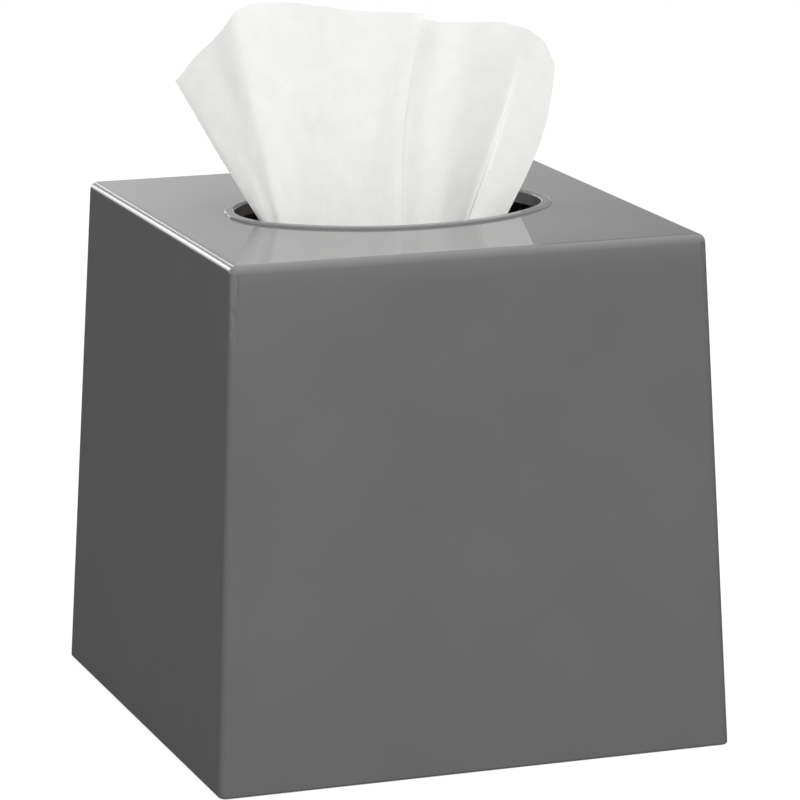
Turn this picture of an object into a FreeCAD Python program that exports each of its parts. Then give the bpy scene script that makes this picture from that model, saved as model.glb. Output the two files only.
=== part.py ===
import FreeCAD, Part
import math
import os

# A tapered cover over a cube tissue carton, with one sheet standing in its oval opening.
# Every size is in millimetres. +Z is up, -Y is the front, and the origin is the middle
# of the foot, on the surface that the cover stands on.

# Refill carton that the cover is made round
carton_width = 111.0
carton_height = 125.0
board = 0.6
glue_lap = 15.0
dust_flap = 38.0
flap_seam = 1.6
carton_opening_margin = 3.5
film_glue_margin = 4.0
film_thickness = 0.2

# Cover moulding
wall = 3.0
side_room = 8.2
head_room = 13.3
flare = 6.3
edge_radius = 2.2
inside_radius = 0.9
foot_radius = 0.8

# Oval opening and the ring set into it
opening_side_margin = 23.2
opening_front_margin = 36.7
opening_end_drop = 8.5
ring_width = 2.9
ring_rise = 0.7
ring_outer_round = 0.6
ring_inner_round = 0.7
rebate_depth = 0.8
sleeve_wall = 1.5
seat_clearance = 0.05

# Sheets
sheet_thickness = 0.8
leaf_thickness = 1.1
leaf_pitch = 1.3
leaf_count = 16
leaf_side_room = 4.9
leaf_edge_room = 1.8
stack_lift = 0.4
sheet_rest_gap = 0.5
fold_softness = 0.7

# Standing sheet: how far its hem leans out past the opening, and how high it stands
plume_left_reach = 15.0
plume_right_reach = 4.5
plume_height = 59.1
hem_drop_left = 9.0
hem_drop_front = 5.0
hem_drop_back = 7.9
hem_drop_right = 9.6
hem_step_place = 8.0
hem_fall = 0.25
hem_front = -10.0
neck_gather = 0.72
tail_gather = 0.62
tail_set_back = 3.5

# Next sheet, waiting under the film in front of the first one's tail
next_half_width = 18.0
next_hem_spread = 4.0
next_front = -10.5
next_back = -6.5
next_below_top = 25.0

# Opening in the film, round both sheets
slit_side_room = 11.0
slit_front_room = 4.5
slit_end_drop = 3.0

# Sizes that follow from the ones above
top_width = carton_width + 2 * (side_room + wall)
base_width = top_width + 2 * flare
cover_height = carton_height + head_room + wall
opening_half_length = top_width / 2 - opening_side_margin
opening_half_depth = top_width / 2 - opening_front_margin
opening_end_radius = opening_half_depth - opening_end_drop
ring_top = cover_height + ring_rise
carton_inside = carton_width - 2 * board
stack_floor = 2 * board + stack_lift
stack_width = carton_inside - 2 * leaf_side_room
stack_top = stack_floor + (2 * leaf_count - 1) * leaf_pitch + leaf_thickness
film_top = carton_height - board
slit_half_length = neck_gather * opening_half_length + slit_side_room
slit_half_depth = -next_front + slit_front_room
slit_end_radius = slit_half_depth - slit_end_drop

# Folds of the standing sheet, from its free front edge round its left fold to its right edge.
# Each one is its place in the opening, as shares of the half length and half depth, and the
# distance that it leans across and back by the time it reaches hem height.
sheet_folds = [
    (0.00, -0.38, 9.1, -0.4),
    (-0.24, -0.37, 3.5, -1.9),
    (-0.43, -0.33, 1.8, -2.3),
    (-0.67, -0.36, -5.7, -2.2),
    (-0.84, -0.31, -18.7, 1.2),
    (-0.90, -0.22, -43.8, 18.7),
    (-0.32, 0.28, 2.8, 7.3),
    (-0.04, -0.16, 6.7, -1.5),
    (0.26, -0.29, 13.8, -1.6),
    (0.52, -0.15, 23.5, -3.9),
    (0.76, -0.22, 28.1, -1.7),
]


def point(x, y, z):
    return FreeCAD.Vector(x, y, z)


def line(start, end):
    return Part.makeLine(start, end)


def arc(start, middle, end):
    return Part.Arc(start, middle, end).toShape()


def box(x_low, x_high, y_low, y_high, z_low, z_high):
    return Part.makeBox(x_high - x_low, y_high - y_low, z_high - z_low, point(x_low, y_low, z_low))


def square_frustum(low_half, high_half, z_low, z_high):
    """Solid with a square foot and a square top of another size."""
    wires = []
    for half, z in ((low_half, z_low), (high_half, z_high)):
        corners = [(-half, -half), (half, -half), (half, half), (-half, half), (-half, -half)]
        wires.append(Part.makePolygon([point(x, y, z) for x, y in corners]))
    return Part.makeLoft(wires, True, True)


def oval_block(half_length, half_depth, end_radius, z_low, z_high):
    """Solid oval made of four arcs that run smoothly into each other."""
    reach = half_length - end_radius
    side_radius = (reach ** 2 + half_depth ** 2 - end_radius ** 2) / (2 * (half_depth - end_radius))
    slope = side_radius - end_radius
    x = reach + end_radius * reach / slope
    y = end_radius * (side_radius - half_depth) / slope
    right = arc(point(x, -y, z_low), point(half_length, 0, z_low), point(x, y, z_low))
    back = arc(point(x, y, z_low), point(0, half_depth, z_low), point(-x, y, z_low))
    left = arc(point(-x, y, z_low), point(-half_length, 0, z_low), point(-x, -y, z_low))
    front = arc(point(-x, -y, z_low), point(0, -half_depth, z_low), point(x, -y, z_low))
    face = Part.Face(Part.Wire([right, back, left, front]))
    return face.extrude(point(0, 0, z_high - z_low))


def opening_block(growth, z_low, z_high):
    """Solid the shape of the cover's opening, grown all round by the same distance."""
    half_length = opening_half_length + growth
    half_depth = opening_half_depth + growth
    end_radius = opening_end_radius + growth
    return oval_block(half_length, half_depth, end_radius, z_low, z_high)


def edges_at_height(solid, height):
    return [e for e in solid.Edges if all(abs(v.Z - height) < 0.001 for v in e.Vertexes)]


def standing_edges(solid):
    return [e for e in solid.Edges if abs(e.Vertexes[0].Z - e.Vertexes[-1].Z) > 1]


def cover_half_at(height):
    return base_width / 2 - flare * height / cover_height


def cover_shell():
    """Tapered moulding, open at the foot, with a rebated hole for the ring."""
    outside = square_frustum(base_width / 2, top_width / 2, 0, cover_height)
    rounded = standing_edges(outside) + edges_at_height(outside, cover_height)
    outside = outside.makeFillet(edge_radius, rounded)
    outside = outside.makeFillet(foot_radius, edges_at_height(outside, 0))
    wall_across = wall * math.hypot(flare, cover_height) / cover_height
    below = -5.0
    ceiling = cover_height - wall
    inside = square_frustum(
        cover_half_at(below) - wall_across, cover_half_at(ceiling) - wall_across, below, ceiling
    )
    inside = inside.makeFillet(inside_radius, standing_edges(inside) + edges_at_height(inside, ceiling))
    hole = opening_block(sleeve_wall + seat_clearance, ceiling - 1, cover_height + 1)
    rebate = opening_block(ring_width + seat_clearance, cover_height - rebate_depth, cover_height + 1)
    return outside.cut(inside).cut(hole).cut(rebate)


def opening_ring():
    """Ring with a rounded bead that sits in the rebate, and a sleeve that lines the hole."""
    bead = opening_block(ring_width, cover_height - rebate_depth, ring_top)
    bead = bead.makeFillet(ring_outer_round, edges_at_height(bead, ring_top))
    sleeve = opening_block(sleeve_wall, cover_height - wall, cover_height)
    bore = opening_block(0, cover_height - wall - 1, ring_top + 1)
    ring = bead.fuse(sleeve).cut(bore).removeSplitter()
    lip = [e for e in edges_at_height(ring, ring_top) if bore.isInside(e.Vertexes[0].Point, 0.01, True)]
    return ring.makeFillet(ring_inner_round, lip)


def tissue_carton():
    """Folded board box with an oval opening, a glue lap, dust flaps and two bottom flaps."""
    half = carton_width / 2
    inner = carton_inside / 2
    blank = box(-half, half, -half, half, 0, carton_height)
    blank = blank.cut(box(-inner, inner, -inner, inner, board, carton_height - board))
    opening = opening_block(carton_opening_margin, film_top - 1, carton_height + 1)
    seam = box(-inner, inner, -flap_seam / 2, flap_seam / 2, -1, board)
    left_flap = box(-inner, dust_flap - inner, -inner, inner, board, 2 * board)
    right_flap = box(inner - dust_flap, inner, -inner, inner, board, 2 * board)
    lap = box(-inner, glue_lap - inner, inner - board, inner, 2 * board, film_top - film_thickness)
    return blank.cut(opening).cut(seam).fuse([left_flap, right_flap, lap]).removeSplitter()


def carton_film():
    """Clear film glued under the carton's top, parted where the sheets come through."""
    margin = carton_opening_margin + film_glue_margin
    sheet = opening_block(margin, film_top - film_thickness, film_top)
    slit = oval_block(slit_half_length, slit_half_depth, slit_end_radius, film_top - 1, film_top + 1)
    return sheet.cut(slit)


def folded_leaf(low_level, high_level, side):
    """One sheet folded in half: two flat panels, joined by a rounded fold at the given side."""
    fold_x = side * stack_width / 2
    free_x = side * (leaf_edge_room - stack_width / 2)
    inner_x = fold_x - side * leaf_thickness
    low = stack_floor + low_level * leaf_pitch
    high = stack_floor + high_level * leaf_pitch
    profile = [
        (free_x, low),
        (fold_x, low),
        (fold_x, high + leaf_thickness),
        (free_x, high + leaf_thickness),
        (free_x, high),
        (inner_x, high),
        (inner_x, low + leaf_thickness),
        (free_x, low + leaf_thickness),
        (free_x, low),
    ]
    front = -stack_width / 2
    face = Part.Face(Part.makePolygon([point(x, front, z) for x, z in profile]))
    leaf = face.extrude(point(0, stack_width, 0))
    bends = [
        e
        for e in leaf.Edges
        if e.Length > stack_width - 0.01 and all(abs(v.X - fold_x) < 0.001 for v in e.Vertexes)
    ]
    bends = [e for e in bends if abs(e.Vertexes[0].Y - e.Vertexes[1].Y) > 1]
    return leaf.makeFillet(0.9 * leaf_thickness, bends)


def sheet_stack():
    """Sheets folded into each other, so that pulling one draws up half of the next."""
    last = leaf_count - 1
    leaves = []
    for number in range(leaf_count):
        low_level = max(2 * number - 1, 0)
        high_level = 2 * number + (1 if number == last else 2)
        side = 1 if number % 2 == 0 else -1
        leaves.append(folded_leaf(low_level, high_level, side))
    return Part.makeCompound(leaves)


def fold_chain(points):
    """Edges along a folded line: straight panels with an arc at each fold."""
    edges = []
    here = points[0]
    for before, fold, after in zip(points, points[1:], points[2:]):
        to_before = before - fold
        to_after = after - fold
        reach = fold_softness * min(to_before.Length, to_after.Length) / 2
        to_before.normalize()
        to_after.normalize()
        middle = to_before + to_after
        cosine = middle.Length / 2
        sine = math.sqrt(1 - cosine ** 2)
        middle.normalize()
        enter = fold + to_before * reach
        leave = fold + to_after * reach
        edges.append(line(here, enter))
        edges.append(arc(enter, fold + middle * (reach * (1 - sine) / cosine), leave))
        here = leave
    edges.append(line(here, points[-1]))
    return edges


def sheet_section(folds, z):
    """Closed outline of a thin folded sheet, half its thickness to each side of its folds."""
    middle = [point(x, y, z) for x, y in folds]
    across = []
    for start, end in zip(middle, middle[1:]):
        run = end - start
        across.append(point(-run.y, run.x, 0).normalize())
    sides = [across[0]]
    for one, other in zip(across, across[1:]):
        sides.append((one + other) * (1 / (1 + one.dot(other))))
    sides.append(across[-1])
    half = sheet_thickness / 2
    left = [p + s * half for p, s in zip(middle, sides)]
    right = [p - s * half for p, s in zip(middle, sides)]
    closing = [line(left[-1], right[-1])]
    returning = fold_chain(right[::-1]) + [line(right[0], left[0])]
    return Part.Wire(fold_chain(left) + closing + returning)


def hem_block():
    """Solid that holds the standing sheet up to its hem, with a step down to the rear layer."""
    left = -opening_half_length - plume_left_reach
    right = opening_half_length + plume_right_reach
    high = ring_top + plume_height
    shoulder = high - hem_drop_left
    step_top = point(hem_step_place, 0, high - hem_drop_front)
    step_foot = point(hem_step_place, 0, high - hem_drop_back)
    outline = [
        line(point(left - 24, 0, shoulder - 43), point(left + 6, 0, shoulder)),
        arc(point(left + 6, 0, shoulder), point(left + 11, 0, high - 3.2), point(left + 20, 0, high)),
        line(point(left + 20, 0, high), step_top),
        line(step_top, step_foot),
        line(step_foot, point(right - 16, 0, high - hem_drop_right)),
        arc(
            point(right - 16, 0, high - hem_drop_right),
            point(right - 5.4, 0, high - hem_drop_right - 6.7),
            point(right, 0, high - hem_drop_right - 15),
        ),
        line(point(right, 0, high - hem_drop_right - 15), point(right + 20, 0, high - hem_drop_right - 55)),
        line(point(right + 20, 0, high - hem_drop_right - 55), point(right + 20, 0, 0)),
        line(point(right + 20, 0, 0), point(left - 24, 0, 0)),
        line(point(left - 24, 0, 0), point(left - 24, 0, shoulder - 43)),
    ]
    reach = 60.0
    face = Part.Face(Part.Wire(outline))
    face.translate(point(0, hem_front - reach, reach * hem_fall))
    return face.extrude(point(0, 2 * reach, -2 * reach * hem_fall))


def popup_sheet():
    """The sheet in the opening: main folds only, gathered in the film and spread at the hem."""
    at_ring = [(a * opening_half_length, d * opening_half_depth) for a, d, lean_a, lean_d in sheet_folds]
    at_hem = [(x + f[2], y + f[3]) for (x, y), f in zip(at_ring, sheet_folds)]
    at_film = [(x * neck_gather, y * neck_gather + tail_set_back) for x, y in at_ring]
    at_tail = [(x * tail_gather, y * tail_gather + tail_set_back) for x, y in at_ring]
    sections = [
        sheet_section(at_tail, stack_top + sheet_rest_gap),
        sheet_section(at_film, carton_height),
        sheet_section(at_ring, cover_height),
        sheet_section(at_hem, ring_top + plume_height + 20),
    ]
    return Part.makeLoft(sections, True, True).common(hem_block())


def next_sheet():
    """The sheet that waits under the film, with its main folds."""
    steps = 6
    at_foot = []
    at_hem = []
    for step in range(steps + 1):
        share = 2 * step / steps - 1
        y = next_front if step % 2 else next_back
        at_foot.append((share * next_half_width, y))
        at_hem.append((share * (next_half_width + next_hem_spread), y))
    sections = [
        sheet_section(at_foot, stack_top + sheet_rest_gap),
        sheet_section(at_hem, carton_height - next_below_top),
    ]
    return Part.makeLoft(sections, True, True)


os.makedirs("parts", exist_ok=True)
pieces = {
    "cover_shell": cover_shell(),
    "opening_ring": opening_ring(),
    "tissue_carton": tissue_carton(),
    "carton_film": carton_film(),
    "sheet_stack": sheet_stack(),
    "popup_sheet": popup_sheet(),
    "next_sheet": next_sheet(),
}
for name, shape in pieces.items():
    size = shape.optimalBoundingBox(False)
    print(name, "valid", shape.isValid(), "solids", len(shape.Solids), "volume", round(shape.Volume, 1))
    print("   x", round(size.XMin, 2), round(size.XMax, 2), "y", round(size.YMin, 2), round(size.YMax, 2))
    print("   z", round(size.ZMin, 2), round(size.ZMax, 2))
    shape.exportStep("parts/" + name + ".step")
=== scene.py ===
# %% [markdown]
# # A tissue box cover, dressed for its portrait
# The real object is a glossy grey plastic cover that stands over a cube carton of tissues.
# The CAD model already has its exact walls, rounded edges and ring, so this lesson loads it as a
# fixed frame, gives each piece its real finish, and makes what CAD does badly: soft paper.

# %% Load the imported model and note its box
import math

import bpy
import numpy as np
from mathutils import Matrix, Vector, noise


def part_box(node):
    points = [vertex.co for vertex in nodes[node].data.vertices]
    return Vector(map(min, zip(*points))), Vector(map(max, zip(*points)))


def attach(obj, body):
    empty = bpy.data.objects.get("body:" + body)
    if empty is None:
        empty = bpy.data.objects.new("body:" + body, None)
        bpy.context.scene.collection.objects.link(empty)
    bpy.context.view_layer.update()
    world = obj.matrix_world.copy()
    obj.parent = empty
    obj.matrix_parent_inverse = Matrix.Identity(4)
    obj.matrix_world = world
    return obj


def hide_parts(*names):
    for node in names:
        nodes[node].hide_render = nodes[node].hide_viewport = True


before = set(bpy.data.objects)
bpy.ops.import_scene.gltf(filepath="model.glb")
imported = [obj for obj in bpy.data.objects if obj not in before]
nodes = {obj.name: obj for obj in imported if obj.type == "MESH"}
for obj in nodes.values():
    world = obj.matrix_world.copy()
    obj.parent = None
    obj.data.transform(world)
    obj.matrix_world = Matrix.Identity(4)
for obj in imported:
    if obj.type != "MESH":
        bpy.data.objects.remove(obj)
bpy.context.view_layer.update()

# %% [markdown]
# ## Helpers
# An operator acts on whatever is selected, so every modelling step starts from nothing selected.
# One function adds any shader node with its settings and links, and one turns the hex colours that
# people write into the linear values that the renderer needs.

# %% Helpers for selecting, colouring and wiring
MM = 0.001


def select_only(obj):
    """Leaves one object selected and active."""
    bpy.ops.object.select_all(action="DESELECT")
    obj.select_set(True)
    bpy.context.view_layer.objects.active = obj


def linear(hex_colour):
    """An sRGB hex colour as linear red, green, blue and alpha."""
    values = [int(hex_colour[i:i + 2], 16) / 255 for i in (1, 3, 5)]
    return tuple(v / 12.92 if v <= 0.04045 else ((v + 0.055) / 1.055) ** 2.4 for v in values) + (1.0,)


def add_node(tree, kind, inputs=None, **settings):
    """Adds a node, sets its properties, and fills or links its inputs by name or number."""
    node = tree.nodes.new(kind)
    for name, value in settings.items():
        setattr(node, name, value)
    for name, value in (inputs or {}).items():
        if isinstance(value, bpy.types.NodeSocket):
            tree.links.new(value, node.inputs[name])
        else:
            node.inputs[name].default_value = value
    return node


def new_material(name):
    """An empty node material, its node tree, and its output node."""
    material = bpy.data.materials.new(name)
    material.use_nodes = True
    material.node_tree.nodes.clear()
    output = add_node(material.node_tree, "ShaderNodeOutputMaterial")
    return material, material.node_tree, output


def wear(obj, material):
    """Makes a material the only one on a piece."""
    obj.data.materials.clear()
    obj.data.materials.append(material)


print("helpers ready")

# %% [markdown]
# ## The camera
# The view was fitted to the photograph from the cover's seven visible corners: a long lens, a
# little over a metre away, turned about 20 degrees to the left and looking down by 13.

# %% Place the camera
LENS_PIXELS = 4510.0
PICTURE_PIXELS = 800
eye = Vector((-0.4112, -1.1528, 0.3689))
aim = Vector((0.0034, 0.0, 0.0863))
camera_data = bpy.data.cameras.new("portrait_camera")
camera_data.sensor_width = 36.0
camera_data.lens = camera_data.sensor_width * LENS_PIXELS / PICTURE_PIXELS
camera = bpy.data.objects.new("portrait_camera", camera_data)
bpy.context.scene.collection.objects.link(camera)
camera.location = eye
camera.rotation_mode = "QUATERNION"
camera.rotation_quaternion = (aim - eye).to_track_quat("-Z", "Y")
bpy.context.scene.camera = camera
bpy.context.scene.view_settings.view_transform = "Standard"
print("lens", round(camera_data.lens, 1), "mm, distance", round((aim - eye).length, 3), "m")

# %% [markdown]
# ## Floor and room
# A product like this is shot on a sweep of white paper. The floor takes the shadow as paper does,
# and a little extra glow, which only direct looks and reflections see, lifts it to plain white.
# The room is the same: white to look at, dim as a lamp, so it doesn't wash out the shading.


# %% Find the rays that look, rather than light
def looking_rays(tree):
    """1 for rays from the camera, a reflection or a see-through piece, 0 for rays that carry light."""
    path = add_node(tree, "ShaderNodeLightPath")
    direct = add_node(tree, "ShaderNodeMath", {
        0: path.outputs["Is Camera Ray"], 1: path.outputs["Is Glossy Ray"],
    }, operation="MAXIMUM")
    every = add_node(tree, "ShaderNodeMath", {
        0: direct.outputs[0], 1: path.outputs["Is Transmission Ray"],
    }, operation="MAXIMUM")
    return every.outputs[0]


print("looking rays are camera, glossy and transmission rays")

# %% Lay the floor
FLOOR_SIDE = 2.4
FLOOR_LIFT = 0.8
bpy.ops.object.select_all(action="DESELECT")
bpy.ops.mesh.primitive_plane_add(size=FLOOR_SIDE, location=(0, 0, 0))
floor = bpy.context.object
floor.name = "floor"
sweep_paper, tree, output = new_material("white_sweep_paper")
matt = add_node(tree, "ShaderNodeBsdfDiffuse", {"Color": linear("#808080")})
lift = add_node(tree, "ShaderNodeMapRange", {
    "Value": looking_rays(tree), "To Min": 0.0, "To Max": FLOOR_LIFT,
})
glow = add_node(tree, "ShaderNodeEmission", {"Strength": lift.outputs["Result"]})
both = add_node(tree, "ShaderNodeAddShader", {0: matt.outputs[0], 1: glow.outputs[0]})
tree.links.new(both.outputs[0], output.inputs["Surface"])
wear(floor, sweep_paper)
print("floor", FLOOR_SIDE, "m square")

# %% Make the room
ROOM_LIGHT = 0.28
room = bpy.data.worlds.new("white_room")
bpy.context.scene.world = room
room.use_nodes = True
tree = room.node_tree
tree.nodes.clear()
level = add_node(tree, "ShaderNodeMapRange", {
    "Value": looking_rays(tree), "To Min": ROOM_LIGHT, "To Max": 1.0,
})
air = add_node(tree, "ShaderNodeBackground", {
    "Color": linear("#FFFFFF"), "Strength": level.outputs["Result"],
})
add_node(tree, "ShaderNodeOutputWorld", {"Surface": air.outputs[0]})
print("room lights at", ROOM_LIGHT)

# %% [markdown]
# ## Lamps and flags
# A wide soft lamp overhead, one in front, and weak ones behind and at the left give the plain light of
# a catalogue picture. Gloss shows whatever stands round it, so the set has cards that only reflections
# can see: a grey one behind for the top to mirror, which fades upwards and to the right, a dark one on
# the floor for the walls, and two white strips that draw the bright lines along the top's left edge.
# Photographers call such cards flags.


# %% Hang the soft lamps
def soft_lamp(name, place, aim_at, width, height, watts):
    """A rectangular lamp that looks at a point."""
    data = bpy.data.lights.new(name, "AREA")
    data.shape = "RECTANGLE"
    data.size = width
    data.size_y = height
    data.energy = watts
    lamp = bpy.data.objects.new(name, data)
    bpy.context.scene.collection.objects.link(lamp)
    lamp.location = place
    lamp.rotation_mode = "QUATERNION"
    lamp.rotation_quaternion = (Vector(aim_at) - Vector(place)).to_track_quat("-Z", "Y")
    print(name, watts, "W")
    return lamp


overhead = soft_lamp("overhead_softbox", (0.0, 0.0, 1.5), (0, 0, 0.1), 1.4, 1.4, 26.0)
front = soft_lamp("front_softbox", (-0.15, -1.6, 0.95), (0, 0, 0.16), 1.4, 1.0, 24.3)
back = soft_lamp("back_softbox", (0.5, 1.9, 0.7), (0, 0, 0.12), 1.4, 1.0, 9.0)
left = soft_lamp("left_softbox", (-1.6, -0.4, 0.9), (0, 0, 0.15), 1.0, 1.0, 3.0)
for lamp in (overhead, front, back, left):
    lamp.visible_glossy = False


# %% Stand the flags
def flag(name, middle, width, height, strengths, lying=False, along=(1, 0, 0), span=(-0.5, 0.5)):
    """A card that only reflections see, upright or lying; its brightness runs along one direction."""
    bpy.ops.object.select_all(action="DESELECT")
    bpy.ops.mesh.primitive_plane_add(size=1.0, location=middle)
    card = bpy.context.object
    card.name = name
    card.rotation_euler = (0.0 if lying else math.pi / 2, 0, 0)
    card.scale = (width, height, 1.0)
    material, tree, output = new_material(name)
    place = add_node(tree, "ShaderNodeTexCoord")
    across = add_node(tree, "ShaderNodeVectorMath", {
        0: place.outputs["Object"], 1: along,
    }, operation="DOT_PRODUCT")
    run = add_node(tree, "ShaderNodeMapRange", {
        "Value": across.outputs["Value"], "From Min": span[0], "From Max": span[1],
        "To Min": strengths[0], "To Max": strengths[1],
    })
    shine = add_node(tree, "ShaderNodeEmission", {"Strength": run.outputs["Result"]})
    tree.links.new(shine.outputs[0], output.inputs["Surface"])
    wear(card, material)
    card.visible_camera = False
    card.visible_diffuse = False
    card.visible_shadow = False
    card.visible_transmission = False
    card.visible_volume_scatter = False
    print("flag", name)


SLOPE = (0.23, 0.97, 0)
UPWARD = (0, 1, 0)
flag("grey_card_behind", (0.37, 0.70, 0.51), 0.6, 0.98, (0.92, 0.0), along=SLOPE, span=(-0.37, -0.124))
flag("dark_card_on_floor", (0.0, 0.0, 0.0003), 2.4, 2.4, (0.10, 0.10), lying=True)
flag("thin_white_strip", (-0.036, 0.69, 0.375), 0.022, 0.45, (7.0, 7.0))
flag("wide_white_strip", (-0.295, 0.69, 0.18), 0.17, 0.36, (0.1, 7.0), along=UPWARD, span=(-0.17, 0.5))

# %% [markdown]
# ## Gloss grey ABS
# The cover and its ring were shot into polished steel moulds, so their skin is smooth and mirrors
# the room. Up close it isn't perfect: it has a faint orange peel, and handling leaves broad patches
# that are a little duller. ABS bends light as most plastics do, with an IOR of about 1.53. The CAD
# pieces have the right shape, so they stay, and only change their material.

# %% Mix the gloss grey ABS
PEEL_MM = 1.5
HANDLING_MM = 35.0
gloss_abs, tree, output = new_material("gloss_grey_abs")
place = add_node(tree, "ShaderNodeTexCoord")
peel = add_node(tree, "ShaderNodeTexNoise", {
    "Vector": place.outputs["Object"], "Scale": 1 / (PEEL_MM * MM), "Detail": 1.0,
})
handled = add_node(tree, "ShaderNodeTexNoise", {
    "Vector": place.outputs["Object"], "Scale": 1 / (HANDLING_MM * MM), "Detail": 4.0,
})
tint = add_node(tree, "ShaderNodeValToRGB", {"Fac": handled.outputs["Fac"]})
tint.color_ramp.elements[0].position = 0.3
tint.color_ramp.elements[0].color = linear("#676767")
tint.color_ramp.elements[1].position = 0.7
tint.color_ramp.elements[1].color = linear("#6A6A6A")
dull = add_node(tree, "ShaderNodeMapRange", {
    "Value": handled.outputs["Fac"], "From Min": 0.3, "From Max": 0.7, "To Min": 0.04, "To Max": 0.07,
})
skin = add_node(tree, "ShaderNodeBump", {
    "Height": peel.outputs["Fac"], "Strength": 0.03, "Distance": 0.02 * MM,
})
moulding = add_node(tree, "ShaderNodeBsdfPrincipled", {
    "Base Color": tint.outputs["Color"], "Roughness": dull.outputs["Result"], "IOR": 1.53,
    "Normal": skin.outputs["Normal"],
})
tree.links.new(moulding.outputs[0], output.inputs["Surface"])
for name in ("cover_shell", "opening_ring"):
    wear(nodes[name], gloss_abs)
print("gloss ABS on the cover and its ring")

# %% [markdown]
# ## Kraft board and clear film
# The refill is hidden until the cover is lifted. Its carton is plain brown board, whose fibres show
# as short flecks, and a limp clear film is glued under the carton's opening.

# %% Mix the kraft board
FLECK_MM = 0.9
CLOUD_MM = 9.0
kraft_board, tree, output = new_material("kraft_carton_board")
place = add_node(tree, "ShaderNodeTexCoord")
drawn = add_node(tree, "ShaderNodeMapping", {"Vector": place.outputs["Object"], "Scale": (1.0, 1.0, 0.3)})
fleck = add_node(tree, "ShaderNodeTexNoise", {
    "Vector": drawn.outputs[0], "Scale": 1 / (FLECK_MM * MM), "Detail": 5.0, "Roughness": 0.75,
})
cloud = add_node(tree, "ShaderNodeTexNoise", {
    "Vector": drawn.outputs[0], "Scale": 1 / (CLOUD_MM * MM), "Detail": 4.0,
})
tone = add_node(tree, "ShaderNodeMapRange", {
    "Value": cloud.outputs["Fac"], "From Min": 0.2, "From Max": 0.8, "To Min": -0.08, "To Max": 0.08,
})
parts = {0: fleck.outputs["Fac"], 1: tone.outputs["Result"]}
mottle = add_node(tree, "ShaderNodeMath", parts, operation="ADD")
brown = add_node(tree, "ShaderNodeValToRGB", {"Fac": mottle.outputs[0]})
brown.color_ramp.elements[0].position = 0.28
brown.color_ramp.elements[0].color = linear("#9A7850")
brown.color_ramp.elements[1].position = 0.68
brown.color_ramp.elements[1].color = linear("#C2A074")
tooth = add_node(tree, "ShaderNodeBump", {
    "Height": fleck.outputs["Fac"], "Strength": 0.25, "Distance": 0.08 * MM,
})
board = add_node(tree, "ShaderNodeBsdfPrincipled", {
    "Base Color": brown.outputs["Color"], "Roughness": 0.82, "IOR": 1.45, "Normal": tooth.outputs["Normal"],
})
tree.links.new(board.outputs[0], output.inputs["Surface"])
wear(nodes["tissue_carton"], kraft_board)
print("kraft board on the carton")

# %% Mix the clear film
SLACK_MM = 12.0
clear_film, tree, output = new_material("clear_polythene_film")
place = add_node(tree, "ShaderNodeTexCoord")
slack = add_node(tree, "ShaderNodeTexNoise", {
    "Vector": place.outputs["Object"], "Scale": 1 / (SLACK_MM * MM), "Detail": 2.0,
})
ripple = add_node(tree, "ShaderNodeBump", {
    "Height": slack.outputs["Fac"], "Strength": 0.6, "Distance": 1.0 * MM,
})
film = add_node(tree, "ShaderNodeBsdfPrincipled", {
    "Base Color": linear("#F1F4F5"), "Roughness": 0.12, "IOR": 1.51, "Alpha": 0.18,
    "Normal": ripple.outputs["Normal"],
})
tree.links.new(film.outputs[0], output.inputs["Surface"])
wear(nodes["carton_film"], clear_film)
print("clear film on the carton's opening")

# %% [markdown]
# ## Two-ply tissue
# Tissue is creped: it is scraped off a hot drum, so it is covered in fine crossways ridges, and its
# fibres make it fuzzy, cloudy and slightly see-through to light. Real crepe ridges are about 0.3 mm
# apart, too fine for the picture, so they are drawn at 0.7 mm. The pattern follows the sheet's own
# UV map, which is measured in metres on the flat sheet, so that it bends with the paper.

# %% Mix the tissue paper
CREPE_MM = 0.7
FELT_MM = 6.0
tissue_paper, tree, output = new_material("creped_tissue_paper")
on_sheet = add_node(tree, "ShaderNodeUVMap", uv_map="flat_sheet")
ridged = add_node(tree, "ShaderNodeMapping", {"Vector": on_sheet.outputs[0], "Scale": (0.28, 1.0, 1.0)})
crepe = add_node(tree, "ShaderNodeTexNoise", {
    "Vector": ridged.outputs[0], "Scale": 1 / (CREPE_MM * MM), "Detail": 3.0, "Roughness": 0.6,
})
felt = add_node(tree, "ShaderNodeTexNoise", {
    "Vector": on_sheet.outputs[0], "Scale": 1 / (FELT_MM * MM), "Detail": 5.0, "Roughness": 0.65,
})
white = add_node(tree, "ShaderNodeValToRGB", {"Fac": felt.outputs["Fac"]})
white.color_ramp.elements[0].position = 0.3
white.color_ramp.elements[0].color = linear("#F2F2F1")
white.color_ramp.elements[1].position = 0.7
white.color_ramp.elements[1].color = linear("#F7F7F6")
fuzz = add_node(tree, "ShaderNodeBump", {
    "Height": crepe.outputs["Fac"], "Strength": 0.35, "Distance": 0.12 * MM,
})
loft = add_node(tree, "ShaderNodeBump", {
    "Height": felt.outputs["Fac"], "Strength": 0.3, "Distance": 0.4 * MM, "Normal": fuzz.outputs["Normal"],
})
paper = add_node(tree, "ShaderNodeBsdfPrincipled", {
    "Base Color": white.outputs["Color"], "Roughness": 0.95, "IOR": 1.4, "Specular IOR Level": 0.2,
    "Sheen Weight": 0.15, "Normal": loft.outputs["Normal"],
})
through = add_node(tree, "ShaderNodeBsdfTranslucent", {
    "Color": white.outputs["Color"], "Normal": loft.outputs["Normal"],
})
plies = add_node(tree, "ShaderNodeMixShader", {0: 0.1, 1: paper.outputs[0], 2: through.outputs[0]})
tree.links.new(plies.outputs[0], output.inputs["Surface"])
print("tissue paper mixed")

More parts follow.
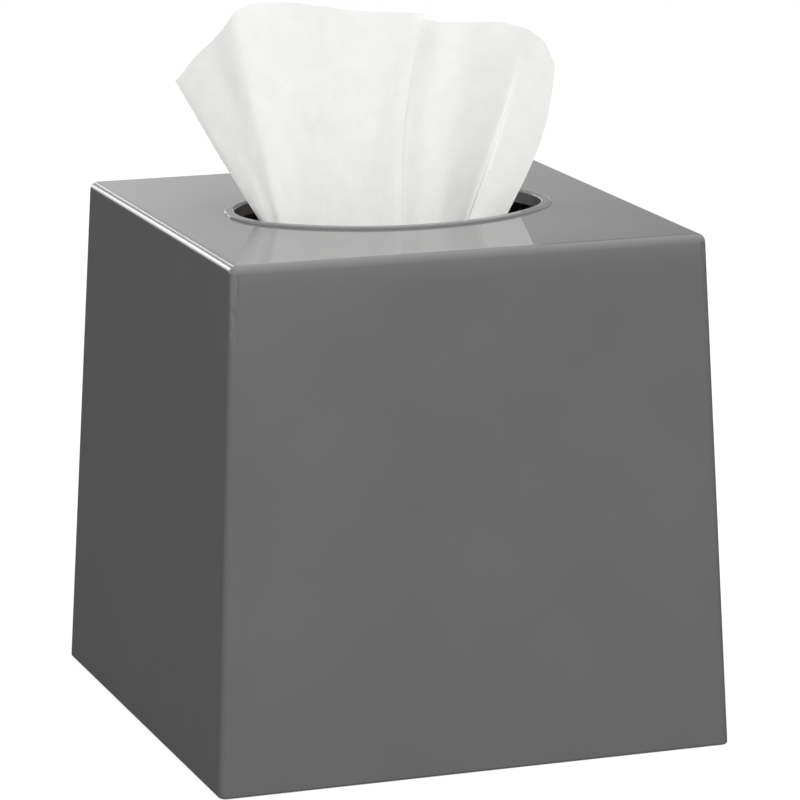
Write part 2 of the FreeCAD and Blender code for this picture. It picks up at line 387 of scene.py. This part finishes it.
# %% [markdown]
# ## How a sheet is lofted
# A sheet pulled from a carton stands in a few large folds that fan out from where it is gathered.
# A cloth simulation would let it fall its own way, but the photograph shows which way each fold
# leans. So the sheet is lofted: a smooth line through its folds at each height, and small pleats
# wherever that line is shorter than the flat sheet is wide, because paper doesn't shrink.

# %% Draw a line through folds and pleat it
SHEET_SIDE = 203.0
PLEAT_RISE = 0.235
# pleats drift sideways and swell unevenly, each over so many mm across the sheet and up it
DRIFT_MM = (26, 80)
DRIFT_TURN = 7
SWELL_MM = (17, 90)


def smooth_line(knots, run, at):
    """A smooth curve through the knots, which lie at the given runs, read at other runs."""
    slope = np.gradient(knots, run, axis=0)
    i = np.clip(np.searchsorted(run, at, "right") - 1, 0, len(run) - 2)
    gap = (run[i + 1] - run[i])[:, None]
    t = (at - run[i])[:, None] / gap
    b, c, s, e = knots[i], knots[i + 1], gap * slope[i], gap * slope[i + 1]
    return b + t * (s + t * (3 * (c - b) - 2 * s - e + t * (2 * (b - c) + s + e)))


def even_steps(line, count):
    """Where a finely drawn line has to be read for steps of equal length, as shares of its points."""
    run = np.concatenate([[0], np.cumsum(np.linalg.norm(np.diff(line, axis=0), axis=1))])
    return np.interp(np.linspace(0, run[-1], count), run, np.linspace(0, 1, len(line)))


def soften(values, reach):
    """A running mean over a reach of columns."""
    kernel = np.ones(2 * reach + 1) / (2 * reach + 1)
    return np.convolve(np.pad(values, reach, mode="edge"), kernel, mode="valid")


def pleat(line, level, pleat_width, share):
    """Adds pleats to a level line, so that along them it is as long as the flat sheet is wide."""
    step = SHEET_SIDE / (len(line) - 1)
    along = np.gradient(line, axis=0)
    gathered = soften(np.clip(np.linalg.norm(along, axis=1) / step, 0, 1), int(pleat_width / step / 2))
    aside = np.stack([along[:, 1], -along[:, 0]], 1)
    aside /= np.linalg.norm(aside, axis=1)[:, None]
    flat = np.arange(len(line)) * step
    drift = np.array([noise.noise((s / DRIFT_MM[0], level / DRIFT_MM[1], 4.0)) for s in flat])
    swell = np.array([1.1 + 0.9 * noise.noise((s / SWELL_MM[0], level / SWELL_MM[1], 9.0)) for s in flat])
    height = PLEAT_RISE * pleat_width * np.sqrt(1 - gathered ** 2) * swell
    wave = np.sin(2 * math.pi * flat / pleat_width + DRIFT_TURN * drift)
    return line + aside * (share * height * wave)[:, None]


print("a sheet is", SHEET_SIDE, "mm square")


# %% Crumple a grid of points and make it a sheet
PLY_MM = 0.25
SMOOTH_BELOW = math.radians(50)


def crumple(grid, sizes):
    """Pushes the grid's points in and out: each size is (across, along, depth, seed), in mm."""
    rise, run = np.gradient(grid, axis=(0, 1))
    out = np.cross(run, rise)
    out /= np.linalg.norm(out, axis=2)[:, :, None]
    step = SHEET_SIDE / (grid.shape[1] - 1)
    push = np.zeros(grid.shape[:2])
    for across, along, depth, seed in sizes:
        for row, column in np.ndindex(*push.shape):
            place = (column * step / across, grid[row, column, 2] / along, seed)
            push[row, column] += depth * noise.noise(place)
    return grid + out * push[:, :, None]


def sheet_piece(name, grid, flat_width, flat_length):
    """A two-ply sheet over a grid of points in mm, with a UV map in metres on the flat sheet."""
    rows, columns = grid.shape[:2]
    index = np.arange(rows * columns).reshape(rows, columns)
    faces = np.stack([index[:-1, :-1], index[:-1, 1:], index[1:, 1:], index[1:, :-1]], -1).reshape(-1, 4)
    mesh = bpy.data.meshes.new(name)
    mesh.from_pydata((grid.reshape(-1, 3) * MM).tolist(), [], faces.tolist())
    corners = faces.reshape(-1)
    across = corners % columns * flat_width / (columns - 1)
    along = corners // columns * flat_length / (rows - 1)
    flat = np.stack([across, along], 1)
    mesh.uv_layers.new(name="flat_sheet").data.foreach_set("uv", (flat * MM).ravel())
    piece = bpy.data.objects.new(name, mesh)
    bpy.context.scene.collection.objects.link(piece)
    select_only(piece)
    thick = piece.modifiers.new("two_plies", "SOLIDIFY")
    thick.thickness = PLY_MM * MM
    thick.offset = 0.0
    bpy.ops.object.modifier_apply(modifier=thick.name)
    bpy.ops.object.shade_smooth_by_angle(angle=SMOOTH_BELOW)
    wear(piece, tissue_paper)
    print(name, len(piece.data.polygons), "faces")
    return piece


print("sheets are", PLY_MM, "mm thick")

# %% [markdown]
# ## The standing sheet
# The folds run from the free corner in front, round the left tip, and back along the rear layer to
# the right tip. Each has its place in the opening, its place and height at the hem, and how far it
# bows sideways on the way up, in millimetres from the middle of the cover's top. They were read off
# the photograph where it shows them; the layer behind is a guess.
# A little below the cover's top the folds close up, so that the sheet passes the film's slit.

# %% Write down the folds
FOLDS = np.array([
    # opening: across, back; hem: across, back, height; bow; share of small pleats that show
    (-0.2, -11.7, 6.1, -12.0, 55.3, -2.2, 0.0),
    (-2.6, -11.2, 2.5, -12.0, 55.5, -2.0, 0.0),
    (-10.6, -11.5, -8.1, -12.8, 56.3, -1.0, 0.0),
    (-18.9, -10.6, -17.6, -12.2, 57.4, 0.0, 0.0),
    (-29.3, -11.2, -33.6, -12.8, 60.0, 0.5, 0.0),
    (-33.3, -10.8, -42.8, -11.6, 59.9, 0.3, 0.0),
    (-35.2, -10.4, -48.0, -10.6, 57.2, 0.1, 0.0),
    (-35.7, -9.9, -48.9, -9.8, 55.2, 0.0, 0.0),
    (-37.4, -8.7, -51.9, -6.2, 50.0, 0.0, 0.0),
    (-38.3, -7.9, -55.6, -2.6, 45.4, 0.0, 0.0),
    (-39.2, -7.0, -60.0, 1.9, 38.2, 0.0, 0.0),
    (-39.3, -6.9, -60.1, 2.0, 38.2, 0.0, 0.0),
    (-29.3, 1.9, -38.6, 8.0, 45.8, 0.0, 0.6),
    (-14.1, 8.5, -12.4, 13.0, 49.3, 0.0, 1.0),
    (-3.6, 1.0, -0.6, 1.0, 50.3, 0.0, 1.0),
    (-0.7, -9.4, 4.5, -10.3, 53.4, -1.4, 0.0),
    (4.8, -9.5, 11.3, -9.9, 52.3, -1.4, 0.0),
    (11.3, -9.7, 20.2, -9.7, 51.7, -1.2, 0.0),
    (17.4, -7.5, 28.4, -9.1, 51.2, -0.4, 0.0),
    (24.2, -4.5, 35.7, -8.8, 49.4, 1.2, 0.0),
    (22.8, -6.1, 37.7, -8.5, 48.5, 1.2, 0.0),
    (24.4, -6.4, 39.4, -8.2, 47.4, 1.5, 0.0),
    (28.6, -6.5, 43.1, -7.9, 44.2, 2.3, 0.0),
    (34.6, -5.9, 46.1, -7.6, 38.0, 2.7, 0.0),
])
print(len(FOLDS), "folds")

# %% Draw the hem through the folds
COLUMNS = 240
spacing = np.linalg.norm(np.diff(FOLDS[:, 2:4], axis=0), axis=1)
run = np.concatenate([[0], np.cumsum(np.sqrt(spacing))])
fine = np.linspace(0, run[-1], 4000)
hem_at = even_steps(smooth_line(FOLDS[:, 2:4], run, fine), COLUMNS) * run[-1]
columns = smooth_line(FOLDS, run, hem_at)
opening, hem_place, hem_height, bow, shown = np.split(columns, [2, 4, 5, 6], axis=1)
print("the hem is", round(np.linalg.norm(np.diff(hem_place, axis=0), axis=1).sum(), 1), "mm long")

# %% Raise the sheet from its tail to its hem
ROWS = 150
PLEAT_MM = 10.5
TAIL_SHIFT = np.array([0.0, 9.0])
TAIL_LIFT = 0.2
GATHER_MOST = 0.55
GATHER_DEPTH = 17.0
GATHER_FROM = -5.5
GATHER_EASE = 8.0
cover_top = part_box("cover_shell")[1].z / MM
slit_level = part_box("carton_film")[1].z / MM - cover_top
tail_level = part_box("popup_sheet")[0].z / MM - cover_top + TAIL_LIFT
grid = np.zeros((ROWS, COLUMNS, 3))
for row, share in enumerate(np.linspace(0, 1, ROWS)):
    height = tail_level + (hem_height - tail_level) * share
    up = np.clip(height, GATHER_FROM, None) / hem_height
    line = opening + (hem_place - opening) * up
    line[:, 0] += (bow * np.sin(math.pi * up))[:, 0]
    depth = np.clip(GATHER_FROM - height, 0, None)
    depth = depth ** 2 / (depth + GATHER_EASE)
    close = GATHER_MOST + (1 - GATHER_MOST) / (1 + depth / GATHER_DEPTH)
    line = line * close + TAIL_SHIFT * depth / (depth + GATHER_DEPTH)
    started = np.interp(height, [slit_level - GATHER_EASE, GATHER_FROM], [1, 0])
    pleats = shown + (1 - shown) * started ** 2 * (3 - 2 * started)
    line = pleat(line, float(height.mean()), PLEAT_MM, pleats[:, 0])
    grid[row, :, :2] = line
    grid[row, :, 2] = height[:, 0] + cover_top
print("the tail ends", round(-tail_level, 1), "mm below the cover's top")

# %% Crumple the standing sheet and set it in its place
CRUMPLES = [(30, 60, 1.0, 1.5), (12, 34, 0.35, 7.5), (5, 9, 0.12, 3.5)]
grid = crumple(grid, CRUMPLES)
standing = sheet_piece("standing_sheet", grid, SHEET_SIDE, float((hem_height - tail_level).mean()))
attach(standing, "sheet")
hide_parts("popup_sheet")

# %% [markdown]
# ## The next sheet
# Sheets in a carton are interfolded, so each one that leaves draws up the next. The next one waits
# under the film, doubled over and pinched into tight pleats. It is a flat strip of the same paper:
# its line runs out and back in two layers, whose pleats nest because both follow the same wave.
# A wave has to be about half as steep again as a zigzag to take up the same length of paper.

# %% Shape the next sheet
NEXT_COLUMNS, NEXT_ROWS = 260, 40
NEXT_PLEATS = 10
LAYER_GAP = 1.6
NEXT_FOOT_HALF = 17.5
NEXT_EDGE_ROOM = 0.5
NEXT_RAGGED = 0.8
WAVE_STEEPER = 1.48
next_low, next_high = [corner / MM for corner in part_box("next_sheet")]
next_middle = (next_low.y + next_high.y) / 2
next_length = next_high.z - next_low.z
out_and_back = np.abs(np.linspace(-1, 1, NEXT_COLUMNS)) * 2 - 1
layer = np.tanh(np.linspace(-1, 1, NEXT_COLUMNS) * 40)
grid = np.zeros((NEXT_ROWS, NEXT_COLUMNS, 3))
for row, share in enumerate(np.linspace(0, 1, NEXT_ROWS)):
    half_width = np.interp(share, [0, 1], [NEXT_FOOT_HALF, next_high.x - NEXT_EDGE_ROOM])
    folded = SHEET_SIDE / 2 / (2 * half_width)
    depth = WAVE_STEEPER * math.sqrt(folded ** 2 - 1) * half_width / (math.pi * NEXT_PLEATS)
    ragged = np.array([NEXT_RAGGED * share * noise.noise((x * 6, 2.5, 8.0)) for x in out_and_back])
    grid[row, :, 0] = half_width * out_and_back
    wave = np.sin(math.pi * NEXT_PLEATS * out_and_back)
    grid[row, :, 1] = next_middle + layer * LAYER_GAP / 2 + depth * wave
    grid[row, :, 2] = next_low.z + TAIL_LIFT + next_length * share + ragged - NEXT_RAGGED
grid = crumple(grid, [(9, 25, 0.3, 12.5)])
waiting = sheet_piece("waiting_sheet", grid, SHEET_SIDE, next_length)
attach(waiting, "following_sheet")
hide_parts("next_sheet")

# %% [markdown]
# ## The sheets still in the carton
# Each sheet left in the carton is folded double, then folded again round the edge of its neighbour,
# by turns from the right and from the left. One function bends a sheet that way, and a loop lays
# sixteen of them on each other, none quite square with the last, as a machine drops them.

# %% Bend one folded sheet
LEAF_PITCH = 1.3
LEAF_SETTLE = 0.55
LEAF_PANEL = 97.0
DOUBLE_GAP = 0.22
stack_low, stack_high = [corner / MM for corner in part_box("sheet_stack")]


def folded_sheet(number, low_level, high_level, side):
    """The grid of a sheet folded double and then once round, with its second fold on one side."""
    lift = stack_low.z + LEAF_SETTLE
    low, high = lift + low_level * LEAF_PITCH, lift + high_level * LEAF_PITCH
    radius = (high - low) / 2
    fold_centre = LEAF_PANEL / 2 - radius
    turn = np.linspace(-math.pi / 2, math.pi / 2, 9)
    run = np.linspace(-LEAF_PANEL / 2, fold_centre, 12)[:-1]
    across = np.concatenate([run, fold_centre + radius * np.cos(turn), run[::-1]])
    up = np.concatenate([run * 0 + low, (low + high) / 2 + radius * np.sin(turn), run * 0 + high])
    out_across = np.concatenate([run * 0, np.cos(turn), run * 0])
    out_up = np.concatenate([run * 0 - 1, np.sin(turn), run * 0 + 1])
    bend = np.linspace(math.pi / 2, -math.pi / 2, 7)
    depth_run = np.linspace(-LEAF_PANEL / 2, LEAF_PANEL / 2, 14)[:-1]
    deep = np.concatenate([depth_run, LEAF_PANEL / 2 + DOUBLE_GAP * np.cos(bend), depth_run[::-1]])
    layer = np.concatenate([depth_run * 0 + 1, np.sin(bend), depth_run * 0 - 1]) * DOUBLE_GAP
    askew = [noise.noise((number * 1.7, 3.1, seed)) for seed in (0.0, 5.0)]
    grid = np.zeros((len(deep), len(across), 3))
    grid[:, :, 0] = side * (across + np.outer(layer, out_across)) + askew[0]
    grid[:, :, 1] = deep[:, None] + askew[1]
    grid[:, :, 2] = up + np.outer(layer, out_up)
    return grid


print("the stack is", round(stack_high.z - stack_low.z, 1), "mm high")

# %% Lay the folded sheets
LEAF_COUNT = 16
for number in range(LEAF_COUNT):
    low_level = max(2 * number - 1, 0)
    high_level = 2 * number + (1 if number == LEAF_COUNT - 1 else 2)
    side = 1 if number % 2 == 0 else -1
    leaf = sheet_piece(f"folded_sheet_{number + 1:02d}", folded_sheet(number, low_level, high_level, side),
                       SHEET_SIDE, SHEET_SIDE)
    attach(leaf, "carton")
    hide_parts("sheet_stack")
